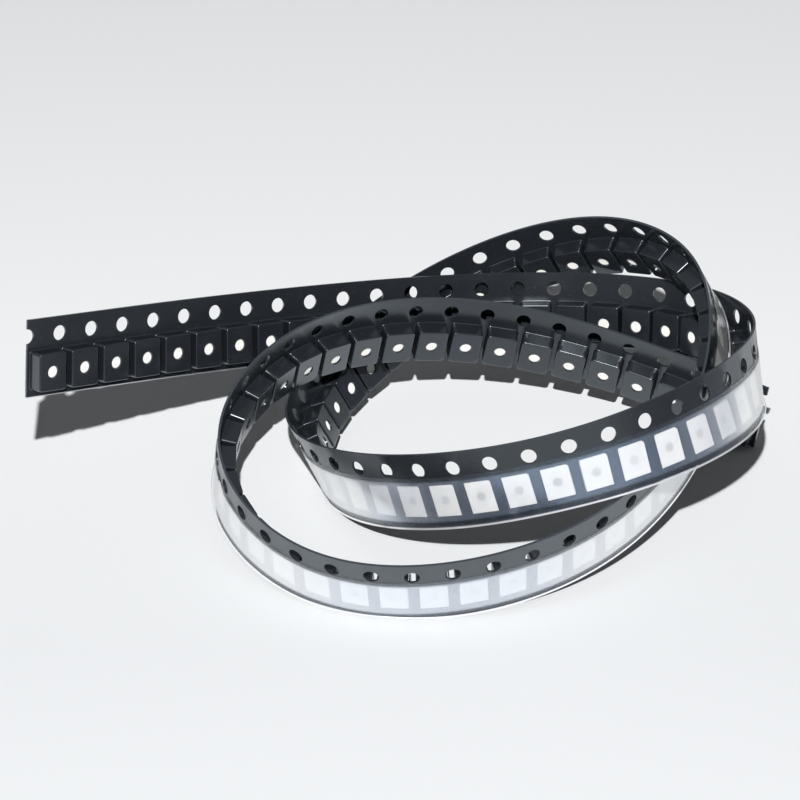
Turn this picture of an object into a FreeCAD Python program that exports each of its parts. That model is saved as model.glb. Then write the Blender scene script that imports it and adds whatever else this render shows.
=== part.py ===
import FreeCAD, Part
import math
import os

# A cut length of embossed carrier tape, loosely coiled, with a small surface-mount light in each pocket
# and a clear cover tape sealed over the open side of the pockets.
# The strip lies on a table. Z is up, and the origin is below the middle of its bounding box.

# Driving dimensions of the carrier tape
TAPE_WIDTH = 8.0
PITCH = 4.0
POCKET_COUNT = 99
SHEET = 0.25
HOLE_DIAMETER = 1.5
HOLE_FROM_EDGE = 1.75
POCKET_FROM_HOLES = 3.5
POCKET_LENGTH = 3.35
POCKET_WIDTH = 4.0
POCKET_DEPTH = 1.85
POCKET_DRAFT = 0.05
POCKET_WALL = 0.18
POCKET_FLOOR = 0.2
VENT_DIAMETER = 1.05

# Driving dimensions of the cover tape
COVER_START = 2.62
COVER_WIDTH = 5.26
COVER_THICKNESS = 0.06
SEAL_THICKNESS = 0.04

# Driving dimensions of the light's housing
LED_LENGTH = 2.8
LED_WIDTH = 3.5
LED_HEIGHT = 1.6
LED_CORNER = 0.55

# The round holes are cut with six flats that enclose the same area as the circle
FLATS = 6
HEX_FROM_CIRCLE = math.sqrt(math.pi / (1.5 * math.sqrt(3.0)))
HOLE_RADIUS = HEX_FROM_CIRCLE * HOLE_DIAMETER / 2.0
VENT_RADIUS = HEX_FROM_CIRCLE * VENT_DIAMETER / 2.0

# Route of the strip's middle line, one row each five pockets: x, y and z of the line,
# then how far the lower edge stands to the right of the upper edge and behind it, per millimetre of width
ROUTE = (
    (-37.7, -7.2, 19.0, -0.03, -0.26),
    (-22.9, 5.3, 14.8, 0.00, -0.30),
    (-7.2, 15.5, 11.5, 0.02, -0.31),
    (11.7, 20.7, 10.2, -0.04, -0.27),
    (33.0, 12.6, 12.5, 0.02, -0.28),
    (36.9, -1.8, 15.2, 0.14, -0.23),
    (24.1, -19.2, 16.0, 0.57, -0.07),
    (6.2, -19.4, 11.1, 0.26, -0.13),
    (-9.8, -1.1, 4.1, 0.43, -0.05),
    (-8.6, 11.6, 4.0, 0.51, -0.01),
    (6.3, 23.8, 11.1, 0.58, 0.12),
    (27.8, 17.2, 19.6, 0.59, 0.16),
    (32.2, 8.7, 19.6, 0.40, 0.31),
    (27.6, -13.5, 10.0, 0.22, 0.48),
    (14.1, -24.6, 5.4, 0.09, 0.34),
    (-9.0, -24.4, 4.2, 0.02, 0.34),
    (-18.3, -12.5, 7.5, -0.07, 0.25),
    (-12.4, 6.5, 11.4, -0.24, 0.20),
    (4.1, 15.5, 10.6, -0.20, 0.15),
    (27.5, 13.0, 6.4, -0.05, 0.28),
    (38.9, 7.3, 3.9, -0.21, 0.17),
)

Vector = FreeCAD.Vector
MIDDLE = TAPE_WIDTH / 2.0
FRONT = -SHEET / 2.0
BACK = SHEET / 2.0
POCKET_U = PITCH / 2.0
POCKET_V = HOLE_FROM_EDGE + POCKET_FROM_HOLES


class Frame:
    """A place on the strip: along it, across it towards the lower edge, and through it to the pocket side."""

    def __init__(self, origin, along, across):
        self.origin = origin
        self.along = Vector(along).normalize()
        square = across - self.along * across.dot(self.along)
        self.across = square.normalize()
        self.through = self.across.cross(self.along)

    def point(self, u, v, h):
        return self.origin + self.along * u + self.across * v + self.through * h


def route_curves():
    """The strip's middle line and its lean, as two smooth curves with the same parameter."""
    middle = [Vector(x, y, z) for x, y, z, right, behind in ROUTE]
    lean = [Vector(right, behind, 0.0) for x, y, z, right, behind in ROUTE]
    steps = [0.0]
    for start, end in zip(middle, middle[1:]):
        steps.append(steps[-1] + start.distanceToPoint(end))
    line = Part.BSplineCurve()
    line.interpolate(Points=middle, Parameters=steps)
    tilt = Part.BSplineCurve()
    tilt.interpolate(Points=lean, Parameters=steps)
    return line, tilt


def hole_frames():
    """One frame at each sprocket hole, a pitch apart along the strip."""
    line, tilt = route_curves()
    frames = []
    for number in range(POCKET_COUNT + 1):
        parameter = line.parameterAtDistance(number * PITCH, line.FirstParameter)
        lean = tilt.value(parameter)
        down = math.sqrt(1.0 - lean.x ** 2 - lean.y ** 2)
        frames.append(Frame(line.value(parameter), line.tangent(parameter)[0], Vector(lean.x, lean.y, -down)))
    return frames


def pocket_frame(start, end):
    """The flat piece of tape round a pocket, between two sprocket holes."""
    origin = (start.origin + end.origin) * 0.5
    return Frame(origin, end.origin - start.origin, start.across + end.across)


def facet(corners):
    """A flat face with straight edges, facing whoever sees its corners run anticlockwise."""
    return Part.Face(Part.makePolygon(corners + corners[:1]))


def folded(corners):
    """A four-sided face with a fold from its first to its third corner."""
    return [facet(corners[:3]), facet([corners[0], corners[2], corners[3]])]


def ring(frame, u, v, h, radius):
    """The corners of a six-sided hole, with a corner towards each edge of the tape."""
    corners = []
    for number in range(FLATS):
        angle = 2.0 * math.pi * number / FLATS
        corners.append(frame.point(u + radius * math.sin(angle), v - radius * math.cos(angle), h))
    return corners


def rectangle(frame, length, width, h):
    """The corners of a rectangle centred on the pocket, counted from the upper left."""
    v = POCKET_V - MIDDLE
    signs = ((-1, -1), (1, -1), (1, 1), (-1, 1))
    return [frame.point(a * length / 2.0, v + b * width / 2.0, h) for a, b in signs]


def sheet_corners(start, pocket, end, h, rim):
    """Named corners of one side of the flat tape between two sprocket holes."""
    hole_v = HOLE_FROM_EDGE - MIDDLE
    left = ring(pocket, -POCKET_U, hole_v, h, HOLE_RADIUS)
    right = ring(pocket, POCKET_U, hole_v, h, HOLE_RADIUS)
    corners = {
        "top_left": start.point(0.0, -MIDDLE, h),
        "top_right": end.point(0.0, -MIDDLE, h),
        "low_left": start.point(0.0, MIDDLE, h),
        "low_right": end.point(0.0, MIDDLE, h),
        "left_1": start.point(0.0, hole_v - HOLE_RADIUS, h),
        "left_2": left[1],
        "left_3": left[2],
        "left_4": start.point(0.0, hole_v + HOLE_RADIUS, h),
        "right_1": end.point(0.0, hole_v - HOLE_RADIUS, h),
        "right_2": right[5],
        "right_3": right[4],
        "right_4": end.point(0.0, hole_v + HOLE_RADIUS, h),
    }
    for number, point in enumerate(rim):
        corners["rim_%d" % number] = point
    return corners


# The flat tape between two sprocket holes: one flat plate between the holes and the pocket,
# and small facets round it that take the bend and twist of the strip
SHEET_FACETS = (
    ("left_2", "right_2", "right_3", "rim_1", "rim_0", "left_3"),
    ("top_left", "top_right", "right_2"),
    ("top_right", "right_1", "right_2"),
    ("top_left", "right_2", "left_2"),
    ("top_left", "left_2", "left_1"),
    ("right_3", "right_4", "rim_1"),
    ("left_3", "rim_0", "left_4"),
    ("right_4", "low_right", "rim_2"),
    ("right_4", "rim_2", "rim_1"),
    ("left_4", "rim_0", "rim_3"),
    ("left_4", "rim_3", "low_left"),
    ("low_left", "rim_3", "rim_2"),
    ("low_left", "rim_2", "low_right"),
)

# The runs of cut edge through the sheet: the two long edges and the halves of the sprocket holes
EDGE_RUNS = (
    ("top_left", "top_right"),
    ("low_right", "low_left"),
    ("left_2", "left_1"),
    ("left_3", "left_2"),
    ("left_4", "left_3"),
    ("right_1", "right_2"),
    ("right_2", "right_3"),
    ("right_3", "right_4"),
)


def walls(lower, upper):
    """Flat walls that join two rings of corners and face the middle of the ring."""
    faces = []
    for number, corner in enumerate(lower):
        after = (number + 1) % len(lower)
        faces.append(facet([corner, lower[after], upper[after], upper[number]]))
    return faces


def pierced(outline, hole):
    """A flat face with a hole in it, facing as its outline runs."""
    outer = Part.makePolygon(outline + outline[:1])
    inner = Part.makePolygon(hole[::-1] + hole[-1:])
    return Part.Face([outer, inner])


def carrier_cell(start, end):
    """The carrier tape's faces from one sprocket hole to the next."""
    pocket = pocket_frame(start, end)
    inside_length = POCKET_LENGTH - 2.0 * POCKET_WALL
    inside_width = POCKET_WIDTH - 2.0 * POCKET_WALL
    inside_depth = POCKET_DEPTH - POCKET_FLOOR
    taper = 2.0 * POCKET_DRAFT
    mouth = rectangle(pocket, inside_length, inside_width, FRONT)
    seat = rectangle(pocket, inside_length - taper, inside_width - taper, inside_depth)
    root = rectangle(pocket, POCKET_LENGTH, POCKET_WIDTH, BACK)
    base = rectangle(pocket, POCKET_LENGTH - taper, POCKET_WIDTH - taper, POCKET_DEPTH)
    vent_v = POCKET_V - MIDDLE
    vent_in = ring(pocket, 0.0, vent_v, inside_depth, VENT_RADIUS)
    vent_out = ring(pocket, 0.0, vent_v, POCKET_DEPTH, VENT_RADIUS)
    front = sheet_corners(start, pocket, end, FRONT, mouth)
    back = sheet_corners(start, pocket, end, BACK, root)

    faces = []
    for names in SHEET_FACETS:
        faces.append(facet([front[name] for name in names]))
        faces.append(facet([back[name] for name in reversed(names)]))
    for first, second in EDGE_RUNS:
        faces += folded([front[first], back[first], back[second], front[second]])
    faces += walls(mouth, seat)
    faces += walls(base, root)
    faces += walls(vent_in, vent_out)
    faces.append(pierced(seat, vent_in))
    faces.append(pierced(base[::-1], vent_out[::-1]))
    return faces


def cut_end(frame, order):
    """The cut through a sprocket hole at an end of the strip, with its corners in the order 1 or -1."""
    hole_v = HOLE_FROM_EDGE - MIDDLE
    faces = []
    for top, bottom in ((-MIDDLE, hole_v - HOLE_RADIUS), (hole_v + HOLE_RADIUS, MIDDLE)):
        corners = [frame.point(0.0, v, h) for v, h in ((top, FRONT), (bottom, FRONT), (bottom, BACK), (top, BACK))]
        faces.append(facet(corners[::order]))
    return faces


def closed_solid(faces):
    """One solid inside a closed set of faces."""
    shell = Part.makeShell(faces)
    shell.sewShape()
    return Part.Solid(shell)


def carrier_tape(frames):
    faces = cut_end(frames[0], 1) + cut_end(frames[-1], -1)
    for start, end in zip(frames, frames[1:]):
        faces += carrier_cell(start, end)
    return closed_solid(faces)


def cover_tape(frames):
    """A thin clear strip on the open side, folded in each bay along the diagonal that stands outwards."""
    inner = FRONT - SEAL_THICKNESS
    outer = inner - COVER_THICKNESS
    top = COVER_START - MIDDLE
    bottom = top + COVER_WIDTH
    rows = []
    for frame in frames:
        rows.append([frame.point(0.0, v, h) for v, h in ((top, inner), (bottom, inner), (bottom, outer), (top, outer))])
    faces = [facet(rows[0][::-1]), facet(rows[-1])]
    for frame, a, b in zip(frames, rows, rows[1:]):
        falling = a[0] + b[1]
        rising = a[1] + b[0]
        under = [a[1], b[1], b[0], a[0]]
        over = [a[3], b[3], b[2], a[2]]
        if frame.through.dot(falling - rising) < 0.0:
            under = under[1:] + under[:1]
        else:
            over = over[1:] + over[:1]
        faces += folded(under) + folded(over)
        faces += folded([a[2], b[2], b[1], a[1]])
        faces += folded([a[0], b[0], b[3], a[3]])
    return closed_solid(faces)


def led_housing(start, end):
    """The light's white body: a block with one corner cut away to mark its polarity."""
    pocket = pocket_frame(start, end)
    u = LED_LENGTH / 2.0
    v = LED_WIDTH / 2.0
    middle = POCKET_V - MIDDLE
    outline = ((-u + LED_CORNER, -v), (u, -v), (u, v), (-u, v), (-u, -v + LED_CORNER))
    seat = POCKET_DEPTH - POCKET_FLOOR
    base = facet([pocket.point(a, middle + b, seat) for a, b in outline])
    return base.extrude(pocket.through * -LED_HEIGHT)


def main():
    os.makedirs("parts", exist_ok=True)
    frames = hole_frames()
    bays = list(zip(frames, frames[1:]))
    shapes = {
        "carrier_tape": carrier_tape(frames),
        "cover_tape": cover_tape(frames),
        "led_housings": Part.Compound([led_housing(start, end) for start, end in bays]),
    }
    box = Part.Compound(list(shapes.values())).BoundBox
    shift = Vector(-box.Center.x, -box.Center.y, -box.ZMin)
    for name, shape in shapes.items():
        shape.translate(shift)
        print(name, shape.isValid(), round(shape.Volume, 3), len(shape.Faces), len(shape.Solids))
        shape.exportStep("parts/%s.step" % name)
    print("shift", shift, "size", box.XLength, box.YLength, box.ZLength)


main()
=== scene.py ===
import math

import bmesh
import bpy
import numpy as np
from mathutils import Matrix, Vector


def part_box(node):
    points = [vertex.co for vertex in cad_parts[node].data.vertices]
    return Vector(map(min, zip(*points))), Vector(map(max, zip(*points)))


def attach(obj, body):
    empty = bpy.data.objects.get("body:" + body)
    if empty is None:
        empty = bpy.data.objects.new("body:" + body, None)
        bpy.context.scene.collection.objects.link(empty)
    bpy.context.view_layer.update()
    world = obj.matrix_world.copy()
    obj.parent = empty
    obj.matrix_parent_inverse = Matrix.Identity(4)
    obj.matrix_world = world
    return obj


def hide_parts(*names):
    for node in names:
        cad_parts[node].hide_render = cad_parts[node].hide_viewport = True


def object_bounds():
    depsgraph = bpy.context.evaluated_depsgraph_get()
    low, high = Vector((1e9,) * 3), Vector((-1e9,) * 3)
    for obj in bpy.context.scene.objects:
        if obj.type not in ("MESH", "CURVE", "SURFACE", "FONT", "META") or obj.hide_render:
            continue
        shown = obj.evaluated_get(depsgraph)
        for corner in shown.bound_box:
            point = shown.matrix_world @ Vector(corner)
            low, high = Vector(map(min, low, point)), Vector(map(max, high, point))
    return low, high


# A loosely coiled strip of black embossed carrier tape with a small white light in each pocket,
# under a clear cover tape. One pitch of each thing is modelled flat on a bench in millimetres,
# then a copy of it is laid at each pocket along the strip, in metres.

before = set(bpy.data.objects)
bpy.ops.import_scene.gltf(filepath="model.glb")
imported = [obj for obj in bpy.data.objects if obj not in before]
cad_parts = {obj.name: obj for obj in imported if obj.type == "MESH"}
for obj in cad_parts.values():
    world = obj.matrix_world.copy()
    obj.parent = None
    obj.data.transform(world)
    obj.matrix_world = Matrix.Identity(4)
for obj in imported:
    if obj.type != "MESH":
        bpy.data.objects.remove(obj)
cad_low, cad_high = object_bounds()

MM = 0.001

# How near a corner, edge or face has to be to the place that it is known by, in millimetres
TOUCHING = 0.001
NEAR = 0.01

# Carrier tape, in millimetres
TAPE_WIDTH = 8.0
PITCH = 4.0
POCKET_COUNT = 99
SHEET = 0.25
HOLE_DIAMETER = 1.56
HOLE_FROM_EDGE = 1.75
POCKET_FROM_HOLES = 3.5
POCKET_LENGTH = 3.35
POCKET_WIDTH = 4.0
POCKET_DEPTH = 1.85
POCKET_DRAFT = 0.02
POCKET_WALL = 0.18
POCKET_FLOOR = 0.2
POCKET_CORNER = 0.3
POCKET_ROUNDING = 0.13
POCKET_ROOT = 0.12
INNER_CORNER = 0.2
INNER_ROUNDING = 0.05
VENT_DIAMETER = 1.18
VENT_RIM = 1.3
TAPE_SLICES = (0.9, 2.0, 3.1)

# Cover tape, with the distances from the tape's upper edge at which its rows of faces part
COVER_TOP = 2.62
COVER_BOTTOM = 8.22
COVER_ROWS = (2.9, 3.4, 4.3, 5.25, 6.2, 7.1, 7.5, 7.8)
COVER_COLUMNS = 6
COVER_THICKNESS = 0.06
COVER_CLEARANCE = 0.03
SEAL_THICKNESS = 0.04

# The film's slack over the pockets, with its ripples per millimetre, and its lifted lower edge
SLACK = 0.012
SLACK_REACH = 2.2
BROAD_RIPPLES = (0.61, 0.237)
FINE_RIPPLE = 1.9
FINE_SHARE = 0.6
LIFT = 0.07
LIFT_FROM = 3.5
LIFT_OVER = 0.5

# Light: housing, cup, leads, chip and bond wire, with the chip and the wire's end from the middle
LED_LENGTH = 2.8
LED_WIDTH = 3.5
LED_HEIGHT = 1.6
LED_CORNER = 0.3
CAD_LED_CORNER = 0.55
TOP_ROUNDING = 0.05
CORNER_ROUNDING = 0.08
FOOT_LENGTH = 2.5
FOOT_WIDTH = 1.36
FOOT_HEIGHT = 0.2
FOOT_GAP = 0.005
STANDOFF = 0.1
CUP_MOUTH = 2.3
CUP_FLOOR = 1.5
CUP_DEPTH = 0.75
LEAD_WIDTH = 2.0
LEAD_THICKNESS = 0.12
LEAD_EXIT = 0.85
LEAD_FOOT = 0.9
LEAD_BEND = 0.09
PAD_THICKNESS = 0.02
PAD_GAP = 0.12
PAD_GAP_AT = -0.3
CHIP_SIZE = 0.4
CHIP_HEIGHT = 0.14
CHIP_BEVEL = 0.03
CHIP_AT = 0.15
WIRE_RADIUS = 0.02
WIRE_END = -0.5
FILL_DIP = 0.02
FILL_RIM = 0.4
FILL_GAP = 0.01

ROUND_STEPS = 24

# Route of the strip's middle line, one row each five pockets: x, y and z of the line, then how far
# the lower edge stands to the right of the upper edge and behind it, per millimetre of width
ROUTE = (
    (-37.7, -7.2, 19.0, -0.03, -0.26),
    (-22.9, 5.3, 14.8, 0.00, -0.30),
    (-7.2, 15.5, 11.5, 0.02, -0.31),
    (11.7, 20.7, 10.2, -0.04, -0.27),
    (33.0, 12.6, 12.5, 0.02, -0.28),
    (36.9, -1.8, 15.2, 0.14, -0.23),
    (24.1, -19.2, 16.0, 0.57, -0.07),
    (6.2, -19.4, 11.1, 0.26, -0.13),
    (-9.8, -1.1, 4.1, 0.43, -0.05),
    (-8.6, 11.6, 4.0, 0.51, -0.01),
    (6.3, 23.8, 11.1, 0.58, 0.12),
    (27.8, 17.2, 19.6, 0.59, 0.16),
    (32.2, 8.7, 19.6, 0.40, 0.31),
    (27.6, -13.5, 10.0, 0.22, 0.48),
    (14.1, -24.6, 5.4, 0.09, 0.34),
    (-9.0, -24.4, 4.2, 0.02, 0.34),
    (-18.3, -12.5, 7.5, -0.07, 0.25),
    (-12.4, 6.5, 11.4, -0.24, 0.20),
    (4.1, 15.5, 10.6, -0.20, 0.15),
    (27.5, 13.0, 6.4, -0.05, 0.28),
    (38.9, 7.3, 3.9, -0.21, 0.17),
)

MIDDLE = TAPE_WIDTH / 2.0
FRONT = -SHEET / 2.0
BACK = SHEET / 2.0
POCKET_U = PITCH / 2.0
POCKET_V = HOLE_FROM_EDGE + POCKET_FROM_HOLES - MIDDLE
SEAT = POCKET_DEPTH - POCKET_FLOOR
CUP_BOTTOM = LED_HEIGHT - CUP_DEPTH
PAD_TOP = CUP_BOTTOM + PAD_THICKNESS


# The strip's route


def end_slope(steps, values):
    """The slope at the first step of the cubic through the first four values."""
    return np.array([np.polyfit(steps[:4] - steps[0], column, 3)[2] for column in values[:4].T])


class SmoothLine:
    """A smooth curve through given values at given steps."""

    def __init__(self, steps, values):
        count = len(steps)
        gaps = np.diff(steps)
        rises = np.diff(values, axis=0) / gaps[:, None]
        matrix = np.zeros((count, count))
        sides = np.zeros_like(values)
        matrix[0, 0] = 1.0
        matrix[-1, -1] = 1.0
        sides[0] = end_slope(steps, values)
        sides[-1] = -end_slope(-steps[::-1], values[::-1])
        for i in range(1, count - 1):
            matrix[i, i - 1:i + 2] = gaps[i], 2.0 * (gaps[i - 1] + gaps[i]), gaps[i - 1]
            sides[i] = 3.0 * (gaps[i] * rises[i - 1] + gaps[i - 1] * rises[i])
        self.steps = steps
        self.values = values
        self.slopes = np.linalg.solve(matrix, sides)

    def at(self, step):
        """Value and slope of the curve at a step."""
        i = min(max(int(np.searchsorted(self.steps, step)) - 1, 0), len(self.steps) - 2)
        gap = self.steps[i + 1] - self.steps[i]
        x = (step - self.steps[i]) / gap
        a, b = self.values[i], self.values[i + 1]
        p, q = self.slopes[i] * gap, self.slopes[i + 1] * gap
        value = a + x * p + x * x * (3 * (b - a) - 2 * p - q) + x ** 3 * (2 * (a - b) + p + q)
        slope = (p + 2 * x * (3 * (b - a) - 2 * p - q) + 3 * x * x * (2 * (a - b) + p + q)) / gap
        return value, slope


class Place:
    """A place on the strip, with directions along it, across it to its lower edge, and through it."""

    def __init__(self, origin, along, across):
        self.origin = Vector(origin)
        self.along = Vector(along).normalized()
        self.across = Vector(across)
        self.across = (self.across - self.along * self.across.dot(self.along)).normalized()
        self.through = self.across.cross(self.along)

    def point(self, u, v, h):
        """The point u along, v across and h through the tape, towards the pocket side."""
        return self.origin + self.along * u + self.across * v + self.through * h


class Strip:
    """The route of the strip, with its places by distance from the left end."""

    SAMPLES = 4000

    def __init__(self, rows):
        rows = np.array(rows)
        spans = np.linalg.norm(np.diff(rows[:, :3], axis=0), axis=1)
        steps = np.concatenate([[0.0], np.cumsum(spans)])
        self.middle = SmoothLine(steps, rows[:, :3])
        self.lean = SmoothLine(steps, rows[:, 3:])
        self.steps = np.linspace(0.0, steps[-1], self.SAMPLES)
        points = np.array([self.middle.at(step)[0] for step in self.steps])
        runs = np.linalg.norm(np.diff(points, axis=0), axis=1)
        self.distances = np.concatenate([[0.0], np.cumsum(runs)])
        self.shift = Vector((0.0, 0.0, 0.0))
        self.known = {}
        self.pockets = [self.pocket(number) for number in range(POCKET_COUNT)]

    def place(self, distance):
        """The tape's middle line at a distance from its left end."""
        key = round(distance, 4)
        if key not in self.known:
            step = float(np.interp(distance, self.distances, self.steps))
            value, slope = self.middle.at(step)
            right, behind = self.lean.at(step)[0]
            down = math.sqrt(1.0 - right ** 2 - behind ** 2)
            self.known[key] = Place(value, slope, (right, behind, -down))
        return self.known[key]

    def pocket(self, number):
        """The flat piece of tape round a pocket."""
        start = self.place(number * PITCH)
        end = self.place((number + 1) * PITCH)
        middle = (start.origin + end.origin) / 2.0
        return Place(middle, end.origin - start.origin, start.across + end.across)

    def fit_to_frame(self):
        """Moves the route so that the lights' housings are where the frame has them."""
        corners = []
        for pocket in self.pockets:
            for u, v in ((-1, -1), (1, -1), (1, 1), (-1, 1)):
                cut = CAD_LED_CORNER if (u, v) == (-1, -1) else 0.0
                for along, down in ((cut, 0.0), (0.0, cut)):
                    for h in (SEAT, SEAT - LED_HEIGHT):
                        across = POCKET_V + v * LED_WIDTH / 2.0 + down
                        corners.append(pocket.point(u * LED_LENGTH / 2.0 + along, across, h))
        low = Vector([min(corner[i] for corner in corners) for i in range(3)])
        high = Vector([max(corner[i] for corner in corners) for i in range(3)])
        cad_led_low, cad_led_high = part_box("led_housings")
        self.shift = ((cad_led_low + cad_led_high) / MM - low - high) / 2.0


strip = Strip(ROUTE)
strip.fit_to_frame()


# Bench tools


def only(piece):
    """Makes a piece the one selected and active object."""
    bpy.ops.object.select_all(action="DESELECT")
    piece.select_set(True)
    bpy.context.view_layer.objects.active = piece


def named(name):
    """Names the new primitive, and puts its place and size into its mesh."""
    piece = bpy.context.active_object
    piece.name = name
    piece.data.name = name
    bpy.ops.object.transform_apply(location=True, rotation=True, scale=True)
    return piece


def block(name, size, centre):
    """A box of a given size round a centre."""
    bpy.ops.object.select_all(action="DESELECT")
    bpy.ops.mesh.primitive_cube_add(size=1.0, location=centre)
    bpy.context.active_object.scale = size
    return named(name)


def rod(name, radius, low, high, centre=(0.0, 0.0), top_radius=None, steps=ROUND_STEPS):
    """An upright round bar, or a cone's slice where the top radius differs."""
    bpy.ops.object.select_all(action="DESELECT")
    location = (centre[0], centre[1], (low + high) / 2.0)
    bpy.ops.mesh.primitive_cone_add(
        vertices=steps,
        radius1=radius,
        radius2=radius if top_radius is None else top_radius,
        depth=high - low,
        location=location,
    )
    return named(name)


def edit(piece):
    """Opens a piece in edit mode with nothing selected."""
    only(piece)
    bpy.ops.object.mode_set(mode="EDIT")
    bpy.ops.mesh.select_all(action="DESELECT")


def done():
    """Closes edit mode."""
    bpy.ops.object.mode_set(mode="OBJECT")


def pick(piece, kind, test):
    """Selects the faces, edges or corners of a piece in edit mode that pass a test."""
    bpy.ops.mesh.select_mode(type=kind)
    bpy.ops.mesh.select_all(action="DESELECT")
    mesh = bmesh.from_edit_mesh(piece.data)
    parts = {"FACE": mesh.faces, "EDGE": mesh.edges, "VERT": mesh.verts}[kind]
    parts.ensure_lookup_table()
    for part in parts:
        if test(part):
            part.select_set(True)
    mesh.select_flush_mode()
    bmesh.update_edit_mesh(piece.data)


def carve(piece, tool, operation):
    """Joins a tool to a piece, or cuts it away, and removes the tool."""
    only(piece)
    modifier = piece.modifiers.new("carve", "BOOLEAN")
    modifier.operation = operation
    modifier.solver = "EXACT"
    modifier.object = tool
    bpy.ops.object.modifier_apply(modifier=modifier.name)
    bpy.data.objects.remove(tool)


def edge_middle(edge):
    """The point halfway along an edge."""
    return (edge.verts[0].co + edge.verts[1].co) / 2.0


def upright(edge):
    """Whether an edge stands up from the bench."""
    run = edge.verts[0].co - edge.verts[1].co
    return abs(run.z) > 0.9 * run.length


def slice_at(piece, axis, values):
    """Cuts a piece through at places along an axis, without parting it."""
    normal = [0.0, 0.0, 0.0]
    normal[axis] = 1.0
    for value in values:
        edit(piece)
        bpy.ops.mesh.select_all(action="SELECT")
        place = [0.0, 0.0, 0.0]
        place[axis] = value
        bpy.ops.mesh.bisect(plane_co=place, plane_no=normal)
        done()


# The bench pieces: x runs along the tape, y up to the sprocket holes, z out to the pocket side


def pocket_form(name, length, width, low, high, corner, rounding):
    """The drafted, rounded block of a pocket."""
    form = block(name, (length, width, high - low), (POCKET_U, -POCKET_V, (high + low) / 2.0))
    edit(form)
    pick(form, "FACE", lambda face: face.normal.z > 0.9)
    narrow = (1.0 - 2.0 * POCKET_DRAFT / length, 1.0 - 2.0 * POCKET_DRAFT / width, 1.0)
    bpy.ops.transform.resize(value=narrow, center_override=(POCKET_U, -POCKET_V, high))
    pick(form, "EDGE", upright)
    bpy.ops.mesh.bevel(offset=corner, segments=4, affect="EDGES")
    pick(form, "EDGE", lambda edge: edge_middle(edge).z > high - TOUCHING)
    bpy.ops.mesh.bevel(offset=rounding, segments=3, affect="EDGES")
    done()
    return form


def is_root(edge):
    """Whether an edge runs round the foot of a pocket, where it rises from the sheet."""
    level = all(abs(vertex.co.z - BACK) < TOUCHING for vertex in edge.verts)
    near_u = all(abs(vertex.co.x - POCKET_U) < POCKET_LENGTH / 2.0 + NEAR for vertex in edge.verts)
    near_v = all(abs(vertex.co.y + POCKET_V) < POCKET_WIDTH / 2.0 + NEAR for vertex in edge.verts)
    return level and near_u and near_v


def bench_carrier():
    """One pitch of the carrier tape, from the middle of one sprocket hole to the next."""
    tape = block("carrier_pitch", (PITCH, TAPE_WIDTH, SHEET), (POCKET_U, 0.0, 0.0))
    outside = pocket_form(
        "outside", POCKET_LENGTH, POCKET_WIDTH, 0.0, POCKET_DEPTH, POCKET_CORNER, POCKET_ROUNDING
    )
    carve(tape, outside, "UNION")
    edit(tape)
    pick(tape, "EDGE", is_root)
    bpy.ops.mesh.bevel(offset=POCKET_ROOT, segments=3, affect="EDGES")
    done()
    length = POCKET_LENGTH - 2.0 * POCKET_WALL
    width = POCKET_WIDTH - 2.0 * POCKET_WALL
    inside = pocket_form("inside", length, width, -SHEET, SEAT, INNER_CORNER, INNER_ROUNDING)
    carve(tape, inside, "DIFFERENCE")
    steep = (VENT_RIM - VENT_DIAMETER) / POCKET_FLOOR / 2.0
    spare = 0.3
    vent = rod(
        "vent",
        VENT_DIAMETER / 2.0 - spare * steep,
        SEAT - spare,
        POCKET_DEPTH + spare,
        (POCKET_U, -POCKET_V),
        top_radius=VENT_RIM / 2.0 + spare * steep,
    )
    carve(tape, vent, "DIFFERENCE")
    for u in (0.0, PITCH):
        hole = rod("hole", HOLE_DIAMETER / 2.0, -1.0, 1.0, (u, MIDDLE - HOLE_FROM_EDGE))
        carve(tape, hole, "DIFFERENCE")
    slice_at(tape, 0, TAPE_SLICES)
    edit(tape)
    reach = PITCH / 2.0 - TOUCHING
    pick(tape, "FACE", lambda face: abs(face.calc_center_median().x - POCKET_U) > reach)
    bpy.ops.mesh.delete(type="FACE")
    done()
    return tape


def bench_cover():
    """One pitch of the cover tape's inner side, flat, with rows of faces for its ripples."""
    middle = MIDDLE - (COVER_TOP + COVER_BOTTOM) / 2.0
    bpy.ops.object.select_all(action="DESELECT")
    bpy.ops.mesh.primitive_plane_add(size=1.0, location=(POCKET_U, middle, 0.0))
    bpy.context.active_object.scale = (PITCH, COVER_BOTTOM - COVER_TOP, 1.0)
    cover = named("cover_pitch")
    slice_at(cover, 0, [PITCH * step / COVER_COLUMNS for step in range(1, COVER_COLUMNS)])
    slice_at(cover, 1, [MIDDLE - v for v in COVER_ROWS])
    return cover


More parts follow.
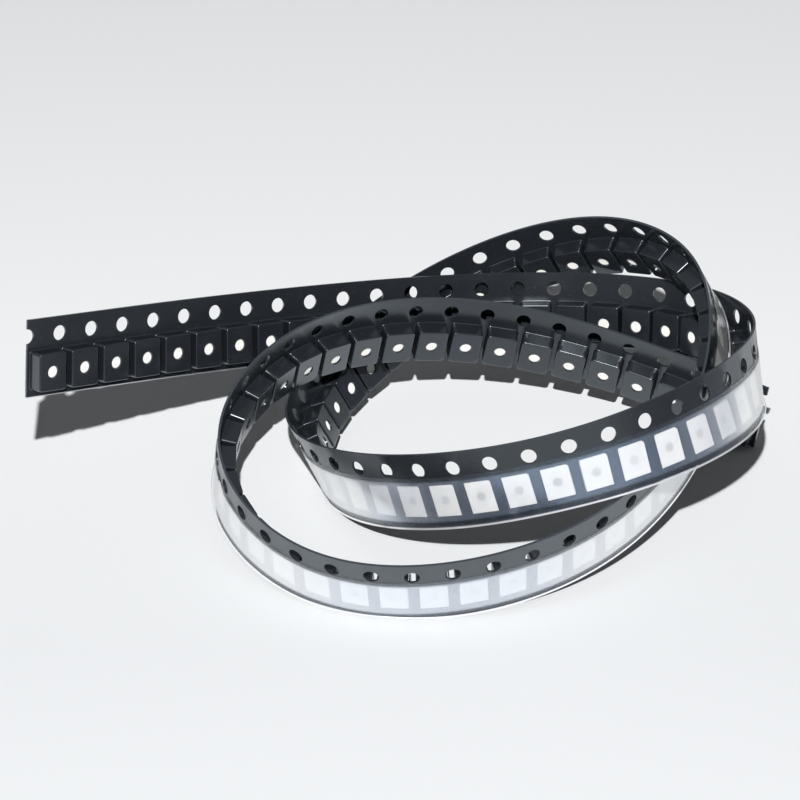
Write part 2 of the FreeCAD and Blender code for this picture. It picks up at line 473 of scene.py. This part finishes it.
def bench_housing():
    """The light's white housing, standing on the bench with its cup upwards."""
    size = (LED_LENGTH, LED_WIDTH, LED_HEIGHT - STANDOFF)
    housing = block("housing", size, (0.0, 0.0, (LED_HEIGHT + STANDOFF) / 2.0))
    edit(housing)
    corner = Vector((-LED_LENGTH / 2.0, -LED_WIDTH / 2.0))
    pick(housing, "EDGE", lambda edge: upright(edge) and (edge_middle(edge).xy - corner).length < NEAR)
    bpy.ops.mesh.bevel(offset=LED_CORNER, segments=1, affect="EDGES")
    done()
    slice_at(housing, 2, (LEAD_EXIT,))
    edit(housing)
    outer = LED_WIDTH / 2.0 - NEAR
    for side in (-1.0, 1.0):
        pick(housing, "VERT", lambda vert: vert.co.y * side > outer and vert.co.z < LEAD_EXIT - NEAR)
        bpy.ops.transform.translate(value=(0.0, -side * LEAD_THICKNESS, 0.0))
    pick(housing, "EDGE", lambda edge: edge_middle(edge).z > LED_HEIGHT - TOUCHING)
    bpy.ops.mesh.bevel(offset=TOP_ROUNDING, segments=2, affect="EDGES")
    pick(housing, "EDGE", lambda edge: upright(edge) and edge_middle(edge).z > LEAD_EXIT)
    bpy.ops.mesh.bevel(offset=CORNER_ROUNDING, segments=2, affect="EDGES")
    done()
    spare = 0.2
    top_radius = (CUP_MOUTH + spare) / 2.0
    cup = rod("cup", CUP_FLOOR / 2.0, CUP_BOTTOM, LED_HEIGHT + spare, top_radius=top_radius)
    carve(housing, cup, "DIFFERENCE")
    centre = (0.0, 0.0, FOOT_GAP + FOOT_HEIGHT / 2.0)
    foot = block("foot", (FOOT_LENGTH, FOOT_WIDTH, FOOT_HEIGHT), centre)
    carve(housing, foot, "UNION")
    return housing


def bench_leads():
    """The two tin-plated leads, each folded down the end of the housing and in under it."""
    leads = []
    for side in (-1.0, 1.0):
        outer = side * LED_WIDTH / 2.0
        lead = block(
            "lead",
            (LEAD_WIDTH, LEAD_THICKNESS, LEAD_EXIT),
            (0.0, outer - side * LEAD_THICKNESS / 2.0, LEAD_EXIT / 2.0),
        )
        slice_at(lead, 2, (STANDOFF,))
        edit(lead)
        pick(
            lead,
            "FACE",
            lambda face: -side * face.normal.y > 0.9 and face.calc_center_median().z < STANDOFF,
        )
        move = {"value": (0.0, -side * LEAD_FOOT, 0.0)}
        bpy.ops.mesh.extrude_region_move(TRANSFORM_OT_translate=move)
        fold = Vector((outer, 0.0))
        pick(lead, "EDGE", lambda edge: (edge_middle(edge).yz - fold).length < TOUCHING)
        bpy.ops.mesh.bevel(offset=LEAD_BEND, segments=3, affect="EDGES")
        done()
        leads.append(lead)
    return united(leads, "leads")


def bench_pads():
    """The plated lead frame in the cup: a wide pad for the chip and a narrow one for the wire."""
    pads = rod("pads", CUP_FLOOR / 2.0, CUP_BOTTOM, PAD_TOP)
    gap = block("gap", (2.0, PAD_GAP, 1.0), (0.0, PAD_GAP_AT, CUP_BOTTOM))
    carve(pads, gap, "DIFFERENCE")
    return pads


def bench_chip():
    """The chip, a small block with bevelled top edges, on the wide pad."""
    centre = (0.0, CHIP_AT, PAD_TOP + CHIP_HEIGHT / 2.0)
    chip = block("chip", (CHIP_SIZE, CHIP_SIZE, CHIP_HEIGHT), centre)
    edit(chip)
    pick(chip, "EDGE", lambda edge: edge_middle(edge).z > PAD_TOP + CHIP_HEIGHT - TOUCHING)
    bpy.ops.mesh.bevel(offset=CHIP_BEVEL, segments=1, affect="EDGES")
    done()
    return chip


def bench_wire():
    """The bond wire, a thin hoop from the chip's top to the narrow pad."""
    level = PAD_TOP + CHIP_HEIGHT
    bpy.ops.object.select_all(action="DESELECT")
    bpy.ops.mesh.primitive_circle_add(
        vertices=5, radius=WIRE_RADIUS, location=(0.0, CHIP_AT, level), fill_type="NGON"
    )
    wire = named("wire")
    edit(wire)
    bpy.ops.mesh.select_all(action="SELECT")
    centre = (0.0, (CHIP_AT + WIRE_END) / 2.0, level)
    bpy.ops.mesh.spin(steps=8, angle=math.pi, center=centre, axis=(1.0, 0.0, 0.0))
    bpy.ops.mesh.select_all(action="SELECT")
    bpy.ops.mesh.normals_make_consistent(inside=False)
    done()
    return wire


def bench_fill():
    """The clear fill of the cup, with a slightly hollow top."""
    top = LED_HEIGHT - FILL_DIP
    spread = (CUP_MOUTH - CUP_FLOOR) / CUP_DEPTH / 2.0
    top_radius = CUP_FLOOR / 2.0 + spread * (top - CUP_BOTTOM)
    low = CUP_BOTTOM + FILL_GAP / 2.0
    fill = rod("fill", CUP_FLOOR / 2.0 - FILL_GAP, low, top, top_radius=top_radius)
    edit(fill)
    pick(fill, "FACE", lambda face: face.normal.z > 0.9)
    bpy.ops.mesh.inset(thickness=FILL_RIM)
    bpy.ops.transform.translate(value=(0.0, 0.0, -FILL_DIP))
    done()
    return fill


def united(pieces, name):
    """Joins pieces into one object."""
    only(pieces[0])
    for piece in pieces[1:]:
        piece.select_set(True)
    bpy.ops.object.join()
    pieces[0].name = name
    pieces[0].data.name = name
    return pieces[0]


# Laying bench pieces along the strip


def bent(number, point):
    """Where a point of the flat tape goes: the sheet bends with the route, the pockets stay stiff."""
    smooth = strip.place(number * PITCH + point.x).point(0.0, -point.y, point.z)
    stiff = strip.pockets[number].point(point.x - POCKET_U, -point.y, point.z)
    reach_u = abs(point.x - POCKET_U) - POCKET_LENGTH / 2.0
    reach_v = abs(point.y + POCKET_V) - POCKET_WIDTH / 2.0
    return stiff if max(reach_u, reach_v) < NEAR else smooth


def ripple(distance, across):
    """How far the film stands off: slack between the seals, and a lifted lower edge."""
    short, long = BROAD_RIPPLES
    broad = math.sin(distance * short) * math.sin(distance * long + across)
    fine = FINE_SHARE * math.sin(distance * FINE_RIPPLE + 2.0 * across)
    slack = max(0.0, 1.0 - ((across - POCKET_V) / SLACK_REACH) ** 2)
    lift = max(0.0, across - LIFT_FROM) / LIFT_OVER
    return -SLACK * slack * (1.0 + broad + fine) - LIFT * lift ** 2


def stretched(number, point):
    """Where a point of the cover tape goes: by the pockets' open side, and above the table."""
    distance = number * PITCH + point.x
    inner = FRONT - SEAL_THICKNESS
    place = strip.place(distance).point(0.0, -point.y, inner + ripple(distance, -point.y))
    place.z = max(place.z, cad_low.z / MM - strip.shift.z + COVER_CLEARANCE)
    return place


def seated(number, point):
    """Where a point of a light goes: its foot on the pocket's floor and its cup towards the cover."""
    return strip.pockets[number].point(point.x, POCKET_V + point.y, SEAT - point.z)


def lay(bench, name, where):
    """Lays a copy of a bench piece, with its own mesh, at each pocket, and joins them."""
    copies = []
    for number in range(POCKET_COUNT):
        copy = bpy.data.objects.new(name, bench.data.copy())
        bpy.context.scene.collection.objects.link(copy)
        layer = copy.data.uv_layers[0] if copy.data.uv_layers else copy.data.uv_layers.new()
        layer.name = "tape"
        flat = [vertex.co.copy() for vertex in bench.data.vertices]
        for loop in copy.data.loops:
            point = flat[loop.vertex_index]
            layer.data[loop.index].uv = (number * PITCH + point.x, point.y)
        for vertex in copy.data.vertices:
            vertex.co = (where(number, vertex.co) + strip.shift) * MM
        copies.append(copy)
    bpy.data.objects.remove(bench)
    return united(copies, name)


def soften(piece, degrees):
    """Smooth shading, with edges sharper than an angle left crisp and broad faces left flat."""
    only(piece)
    bpy.ops.object.shade_smooth_by_angle(angle=math.radians(degrees))
    modifier = piece.modifiers.new("flat", "WEIGHTED_NORMAL")
    modifier.keep_sharp = True
    bpy.ops.object.modifier_apply(modifier=modifier.name)


def weld(piece):
    """Merges the seams between copies."""
    edit(piece)
    bpy.ops.mesh.select_all(action="SELECT")
    bpy.ops.mesh.remove_doubles(threshold=0.002 * MM)
    done()


# Materials


# The colour sockets of a Mix node, which has sockets of the same names for other kinds of value
MIX_A, MIX_B, MIX_RESULT = 6, 7, 2

HOUSING_TONES = ((0.74, 0.735, 0.715), (0.77, 0.765, 0.745))
HOUSING_SPECULAR = 0.3
HOUSING_DIFFUSE_ROUGHNESS = 0.9


def new_material(name):
    """A new material, with its nodes, its links and its shader."""
    material = bpy.data.materials.new(name)
    material.use_nodes = True
    nodes = material.node_tree.nodes
    return material, nodes, material.node_tree.links, nodes["Principled BSDF"]


def speckle_group():
    """Fine dust and soft clouding over a surface, for colour, roughness and bump."""
    group = bpy.data.node_groups.new("handled_surface", "ShaderNodeTree")
    group.interface.new_socket("Fine Scale", in_out="INPUT", socket_type="NodeSocketFloat")
    group.interface.new_socket("Cloud Scale", in_out="INPUT", socket_type="NodeSocketFloat")
    group.interface.new_socket("Dust", in_out="OUTPUT", socket_type="NodeSocketFloat")
    group.interface.new_socket("Clouding", in_out="OUTPUT", socket_type="NodeSocketFloat")
    nodes = group.nodes
    links = group.links
    start = nodes.new("NodeGroupInput")
    end = nodes.new("NodeGroupOutput")
    place = nodes.new("ShaderNodeTexCoord")
    fine = nodes.new("ShaderNodeTexNoise")
    fine.inputs["Detail"].default_value = 3.0
    cloud = nodes.new("ShaderNodeTexNoise")
    cloud.inputs["Detail"].default_value = 2.0
    for noise, name in ((fine, "Fine Scale"), (cloud, "Cloud Scale")):
        links.new(place.outputs["Object"], noise.inputs["Vector"])
        links.new(start.outputs[name], noise.inputs["Scale"])
    sparse = ranged(nodes, links, fine.outputs["Fac"], 0.0, 1.0, start=0.66, end=0.78)
    links.new(sparse, end.inputs["Dust"])
    links.new(cloud.outputs["Fac"], end.inputs["Clouding"])
    return group


def add_handled(nodes, fine, cloud):
    """The masks Dust and Clouding, at given scales."""
    group = nodes.new("ShaderNodeGroup")
    group.node_tree = handled
    group.inputs["Fine Scale"].default_value = fine
    group.inputs["Cloud Scale"].default_value = cloud
    return group.outputs


def fill_sockets(links, pairs):
    """Sets each socket to its number, or links it where a node's output is given."""
    for socket, value in pairs:
        if isinstance(value, float):
            socket.default_value = value
        else:
            links.new(value, socket)


def ranged(nodes, links, source, low, high, start=0.0, end=1.0, smooth=False):
    """Turns a value that runs from start to end into one that runs from low to high."""
    node = nodes.new("ShaderNodeMapRange")
    node.interpolation_type = "SMOOTHSTEP" if smooth else "LINEAR"
    limits = (("From Min", start), ("From Max", end), ("To Min", low), ("To Max", high))
    fill_sockets(links, [(node.inputs[name], value) for name, value in limits])
    links.new(source, node.inputs["Value"])
    return node.outputs["Result"]


def combined(nodes, links, operation, *values):
    """The result of an operation on masks and numbers."""
    node = nodes.new("ShaderNodeMath")
    node.operation = operation
    fill_sockets(links, zip(node.inputs, values))
    return node.outputs["Value"]


def mixed(nodes, links, mask, first, second):
    """A colour that runs from the first to the second with a mask."""
    node = nodes.new("ShaderNodeMix")
    node.data_type = "RGBA"
    links.new(mask, node.inputs["Factor"])
    for socket, colour in ((node.inputs[MIX_A], first), (node.inputs[MIX_B], second)):
        if isinstance(colour, tuple):
            socket.default_value = (*colour, 1.0)
        else:
            links.new(colour, socket)
    return node.outputs[MIX_RESULT]


def bumped(nodes, links, height, strength, distance):
    """The surface's normal with a height laid on it."""
    node = nodes.new("ShaderNodeBump")
    node.inputs["Strength"].default_value = strength
    node.inputs["Distance"].default_value = distance
    links.new(height, node.inputs["Height"])
    return node.outputs["Normal"]


def strip_uv(nodes):
    """The place on the flat strip in millimetres: X along it, and Y up from its middle line."""
    uv = nodes.new("ShaderNodeUVMap")
    uv.uv_map = "tape"
    return uv.outputs["UV"]


def parted(nodes, links, vector):
    """The X, Y and Z of a vector."""
    split = nodes.new("ShaderNodeSeparateXYZ")
    links.new(vector, split.inputs["Vector"])
    return split.outputs


def facing(nodes):
    """0 where a surface faces the viewer, and 1 where it is seen from the side."""
    side = nodes.new("ShaderNodeLayerWeight")
    side.inputs["Blend"].default_value = 0.5
    return side.outputs["Facing"]


def lessened(nodes, links, value, rays, share):
    """A value that falls to a share of itself for rays of two kinds."""
    path = nodes.new("ShaderNodeLightPath")
    unseen = combined(nodes, links, "MAXIMUM", *[path.outputs[ray] for ray in rays])
    return combined(nodes, links, "MULTIPLY", value, ranged(nodes, links, unseen, 1.0, share))


def tape_black():
    """Black conductive polystyrene: satin, faintly streaked along the strip, with a pale bluish
    highlight painted along its slit edges.

    Its gloss grows where it is seen from the side, and is weak in what other surfaces get from it.
    """
    material, nodes, links, shader = new_material("tape_black")
    surface = add_handled(nodes, 2600.0, 220.0)
    uv = strip_uv(nodes)
    up = parted(nodes, links, uv)["Y"]
    stretch = nodes.new("ShaderNodeMapping")
    stretch.inputs["Scale"].default_value = (0.25, 5.0, 1.0)
    links.new(uv, stretch.inputs["Vector"])
    noise = nodes.new("ShaderNodeTexNoise")
    noise.inputs["Scale"].default_value = 1.5
    noise.inputs["Detail"].default_value = 4.0
    links.new(stretch.outputs["Vector"], noise.inputs["Vector"])
    streaks = noise.outputs["Fac"]
    reach = combined(nodes, links, "ABSOLUTE", up)
    # Painted highlight: a pale bluish line along both slit edges, standing in for the light that the
    # edges catch.
    painted_edge_highlight = ranged(nodes, links, reach, 0.0, 0.25, start=MIDDLE - 0.03, end=MIDDLE - 0.005)
    base = mixed(nodes, links, streaks, (0.010, 0.012, 0.015), (0.018, 0.020, 0.024))
    dust = ranged(nodes, links, surface["Dust"], 0.0, 0.3)
    dusted = mixed(nodes, links, dust, base, (0.09, 0.095, 0.10))
    links.new(mixed(nodes, links, painted_edge_highlight, dusted, (0.12, 0.14, 0.18)), shader.inputs["Base Color"])
    links.new(ranged(nodes, links, surface["Clouding"], 0.18, 0.32), shader.inputs["Roughness"])
    links.new(bumped(nodes, links, streaks, 0.12, 0.00004), shader.inputs["Normal"])
    gloss = ranged(nodes, links, facing(nodes), 0.45, 1.0, start=0.2, end=0.45)
    dull = lessened(nodes, links, gloss, ("Is Glossy Ray", "Is Diffuse Ray"), 0.2)
    links.new(dull, shader.inputs["Specular IOR Level"])
    shader.inputs["IOR"].default_value = 1.7
    shader.inputs["Specular Tint"].default_value = (0.84, 0.93, 1.0, 1.0)
    return material


def cover_clear():
    """Clear film: milky where it is seen from the side, clearer at its seals, with a glint painted as
    an opaque white line on its lower rim.

    It is a thin reflecting veil rather than glass, and almost lets shadow and diffuse rays through.
    """
    material, nodes, links, shader = new_material("cover_clear")
    clouding = add_handled(nodes, 1800.0, 260.0)["Clouding"]
    up = parted(nodes, links, strip_uv(nodes))["Y"]
    # Painted highlight: the film's lower rim is made opaque and near white, standing in for the light
    # that its loose edge catches.
    painted_rim_glint = ranged(nodes, links, up, 0.0, 1.0, start=-MIDDLE, end=-MIDDLE - 0.08)
    reach = combined(nodes, links, "ABSOLUTE", combined(nodes, links, "ADD", up, POCKET_V))
    seal = ranged(nodes, links, reach, 1.0, 0.15, start=2.05, end=2.3)
    side = facing(nodes)
    haze = ranged(nodes, links, side, 0.13, 0.66, start=0.12, end=0.58, smooth=True)
    cloudy = combined(nodes, links, "MULTIPLY_ADD", clouding, 0.06, haze)
    sealed = combined(nodes, links, "MULTIPLY", cloudy, seal)
    bright = combined(nodes, links, "MAXIMUM", sealed, painted_rim_glint)
    passing = lessened(nodes, links, bright, ("Is Shadow Ray", "Is Diffuse Ray"), 0.03)
    links.new(passing, shader.inputs["Alpha"])
    milky = ranged(nodes, links, side, 0.0, 1.0, start=0.1, end=0.55)
    tint = mixed(nodes, links, milky, (0.45, 0.57, 0.78), (0.96, 0.97, 0.98))
    # The near-white colour of the painted rim glint.
    links.new(mixed(nodes, links, painted_rim_glint, tint, (0.98, 0.98, 1.0)), shader.inputs["Base Color"])
    links.new(ranged(nodes, links, clouding, 0.14, 0.3), shader.inputs["Roughness"])
    shader.inputs["Metallic"].default_value = 0.62
    return material


def housing_white():
    """White moulded plastic, matt, with a faint warm clouding."""
    material, nodes, links, shader = new_material("housing_white")
    surface = add_handled(nodes, 3200.0, 500.0)
    clouding = surface["Clouding"]
    links.new(mixed(nodes, links, clouding, *HOUSING_TONES), shader.inputs["Base Color"])
    links.new(ranged(nodes, links, clouding, 0.42, 0.6), shader.inputs["Roughness"])
    links.new(bumped(nodes, links, surface["Dust"], 0.2, 0.00001), shader.inputs["Normal"])
    shader.inputs["Specular IOR Level"].default_value = HOUSING_SPECULAR
    shader.inputs["Diffuse Roughness"].default_value = HOUSING_DIFFUSE_ROUGHNESS
    return material


def plated(name, colour, worn, low, high):
    """Plated metal with small changes of tone and gloss."""
    material, nodes, links, shader = new_material(name)
    clouding = add_handled(nodes, 4200.0, 900.0)["Clouding"]
    links.new(mixed(nodes, links, clouding, colour, worn), shader.inputs["Base Color"])
    links.new(ranged(nodes, links, clouding, low, high), shader.inputs["Roughness"])
    shader.inputs["Metallic"].default_value = 1.0
    return material


def chip_dark():
    """The chip: dark and glossy, with a fine speckle."""
    material, nodes, links, shader = new_material("chip_dark")
    clouding = add_handled(nodes, 6000.0, 2500.0)["Clouding"]
    tone = mixed(nodes, links, clouding, (0.16, 0.16, 0.15), (0.34, 0.33, 0.28))
    links.new(tone, shader.inputs["Base Color"])
    shader.inputs["Roughness"].default_value = 0.25
    return material


def fill_clear():
    """The cup's fill: milky, and clearer round its middle, where the chip shows as a spot."""
    material, nodes, links, shader = new_material("fill_clear")
    clouding = add_handled(nodes, 3000.0, 130.0)["Clouding"]
    links.new(mixed(nodes, links, clouding, *HOUSING_TONES), shader.inputs["Base Color"])
    uv = parted(nodes, links, strip_uv(nodes))
    along = combined(nodes, links, "WRAP", uv["X"], PITCH / 2.0, -PITCH / 2.0)
    place = nodes.new("ShaderNodeCombineXYZ")
    fill_sockets(links, ((place.inputs["X"], along), (place.inputs["Y"], uv["Y"])))
    reach = nodes.new("ShaderNodeVectorMath")
    reach.operation = "LENGTH"
    links.new(place.outputs["Vector"], reach.inputs[0])
    middle = ranged(nodes, links, clouding, 0.4, 1.05)
    clearer = ranged(nodes, links, reach.outputs["Value"], middle, 0.97, start=0.35, end=0.6)
    links.new(clearer, shader.inputs["Alpha"])
    shader.inputs["Roughness"].default_value = 0.3
    shader.inputs["Specular IOR Level"].default_value = HOUSING_SPECULAR
    shader.inputs["Diffuse Roughness"].default_value = HOUSING_DIFFUSE_ROUGHNESS
    return material


def coat(piece, material):
    """Gives a piece one material."""
    piece.data.materials.clear()
    piece.data.materials.append(material)


handled = speckle_group()


# The pieces


def carrier():
    """The carrier tape, with the rims left by its two ends closed."""
    tape = lay(bench_carrier(), "carrier_tape_formed", bent)
    weld(tape)
    edit(tape)
    bpy.ops.mesh.select_mode(type="EDGE")
    bpy.ops.mesh.select_non_manifold(extend=False, use_boundary=True)
    bpy.ops.mesh.fill()
    done()
    soften(tape, 32.0)
    coat(tape, tape_black())
    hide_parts("carrier_tape")
    return tape


def cover():
    """The cover tape, thickened outwards from its inner side."""
    film = lay(bench_cover(), "cover_tape_film", stretched)
    weld(film)
    only(film)
    modifier = film.modifiers.new("thickness", "SOLIDIFY")
    modifier.thickness = COVER_THICKNESS * MM
    modifier.offset = -1.0
    bpy.ops.object.modifier_apply(modifier=modifier.name)
    soften(film, 40.0)
    coat(film, cover_clear())
    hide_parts("cover_tape")
    return film


def lights():
    """The housings, with their leads, and what is in their cups."""
    housings = lay(bench_housing(), "led_housings_moulded", seated)
    soften(housings, 30.0)
    coat(housings, housing_white())
    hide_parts("led_housings")
    tin = plated("lead_tin", (0.72, 0.73, 0.74), (0.62, 0.63, 0.65), 0.22, 0.4)
    silver = plated("pad_silver", (0.80, 0.80, 0.79), (0.66, 0.66, 0.66), 0.2, 0.36)
    gold = plated("wire_gold", (0.85, 0.65, 0.30), (0.72, 0.54, 0.26), 0.2, 0.3)
    inner = [
        (bench_leads, "led_leads", tin),
        (bench_pads, "led_pads", silver),
        (bench_chip, "led_chips", chip_dark()),
        (bench_wire, "led_bond_wires", gold),
        (bench_fill, "led_cup_fills", fill_clear()),
    ]
    made = [housings]
    for bench, name, material in inner:
        piece = lay(bench(), name, seated)
        soften(piece, 30.0)
        coat(piece, material)
        made.append(piece)
    return made


# Floor, light and camera


def table_white():
    """The pale table, with painted light: its colour grows whiter behind the strip, where the lamp
    lights it less.
    """
    material, nodes, links, shader = new_material("table_white")
    clouding = add_handled(nodes, 900.0, 6.0)["Clouding"]
    place = nodes.new("ShaderNodeTexCoord").outputs["Object"]
    # Painted light: the table is coloured whiter further back, making up for the weaker lamp light
    # there.
    behind = ranged(nodes, links, parted(nodes, links, place)["Y"], 0.0, 1.0, start=-0.03, end=0.03)
    near = mixed(nodes, links, clouding, (0.82, 0.84, 0.855), (0.85, 0.865, 0.88))
    links.new(mixed(nodes, links, behind, near, (0.965, 0.98, 0.99)), shader.inputs["Base Color"])
    shader.inputs["Roughness"].default_value = 0.85
    return material


KEY_PLACE = (-9.8, -283.2, 250.0)
KEY_RADIUS = 3.6
KEY_POWER = 52.5

ROOM_COLOUR = (0.93, 0.96, 1.0)
ROOM_LIGHT = 0.085
ROOM_IN_GLOSS = 0.2
ROOM_SEEN = 0.85


def studio():
    """The table, a small lamp that lights near and far alike, and a faint room round them."""
    bpy.ops.object.select_all(action="DESELECT")
    bpy.ops.mesh.primitive_plane_add(size=3.0, location=(0.0, 0.0, cad_low.z))
    floor = named("floor")
    coat(floor, table_white())

    key = bpy.data.lights.new("key", "POINT")
    key.energy = KEY_POWER
    key.shadow_soft_size = KEY_RADIUS * MM
    key.use_nodes = True
    glow = key.node_tree.nodes["Emission"]
    even = key.node_tree.nodes.new("ShaderNodeLightFalloff")
    even.inputs["Strength"].default_value = 1.0
    key.node_tree.links.new(even.outputs["Constant"], glow.inputs["Strength"])
    lamp = bpy.data.objects.new("key", key)
    lamp.location = (Vector(KEY_PLACE) + strip.shift) * MM
    bpy.context.scene.collection.objects.link(lamp)

    world = bpy.data.worlds.new("room")
    bpy.context.scene.world = world
    world.use_nodes = True
    nodes = world.node_tree.nodes
    links = world.node_tree.links
    sky = nodes["Background"]
    sky.inputs["Color"].default_value = (*ROOM_COLOUR, 1.0)
    path = nodes.new("ShaderNodeLightPath").outputs
    seen = combined(nodes, links, "MAXIMUM", path["Is Camera Ray"], path["Is Transmission Ray"])
    room = ranged(nodes, links, path["Is Glossy Ray"], ROOM_LIGHT, ROOM_IN_GLOSS)
    links.new(ranged(nodes, links, seen, room, ROOM_SEEN), sky.inputs["Strength"])


CAMERA_DISTANCE = 319.5
CAMERA_ELEVATION = 29.21
CAMERA_TARGET = (0.0, 0.0, 10.2)
CAMERA_LENS = 137.7


def camera():
    """The photo's own camera."""
    data = bpy.data.cameras.new("photo")
    data.lens = CAMERA_LENS
    data.sensor_width = 36.0
    data.clip_start = 0.01
    data.clip_end = 10.0
    eye = bpy.data.objects.new("photo", data)
    angle = math.radians(CAMERA_ELEVATION)
    back = Vector((0.0, -math.cos(angle), math.sin(angle)))
    target = (Vector(CAMERA_TARGET) + strip.shift) * MM
    eye.location = target + back * CAMERA_DISTANCE * MM
    eye.rotation_mode = "QUATERNION"
    eye.rotation_quaternion = (-back).to_track_quat("-Z", "Y")
    bpy.context.scene.collection.objects.link(eye)
    bpy.context.scene.camera = eye


bpy.context.scene.view_settings.view_transform = "Standard"
pieces = [carrier(), cover()] + lights()
for piece in pieces:
    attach(piece, "root")
studio()
camera()
